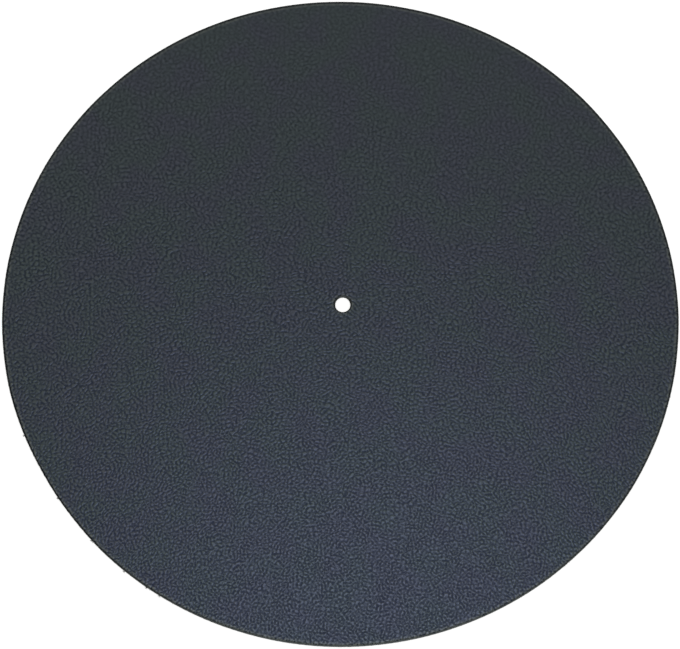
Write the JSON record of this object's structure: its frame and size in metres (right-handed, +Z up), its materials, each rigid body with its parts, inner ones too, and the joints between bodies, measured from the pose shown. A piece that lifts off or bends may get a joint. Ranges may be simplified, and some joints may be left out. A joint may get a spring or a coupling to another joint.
{
  "type": "turntable platter mat",
  "caption": "Flat round mat of thin pebble-grained leather with a small round hole in the middle for the spindle of a record player.",
  "frame": {"origin": "centre of the spindle hole on the underside, where the mat meets the platter", "axes": "+Z up along the spindle, out of the grain side that carries the record; the rim's one flattened stretch lies at 217 degrees from +X towards +Y"},
  "size_m": [0.3, 0.3, 0.0015],
  "materials": {
    "black_leather": "satin black, fine pebble grain on top, plain suede underneath, dyed cut edges"
  },
  "bodies": {
    "root": {"platter_mat": "black_leather"}
  },
  "joints": []
}
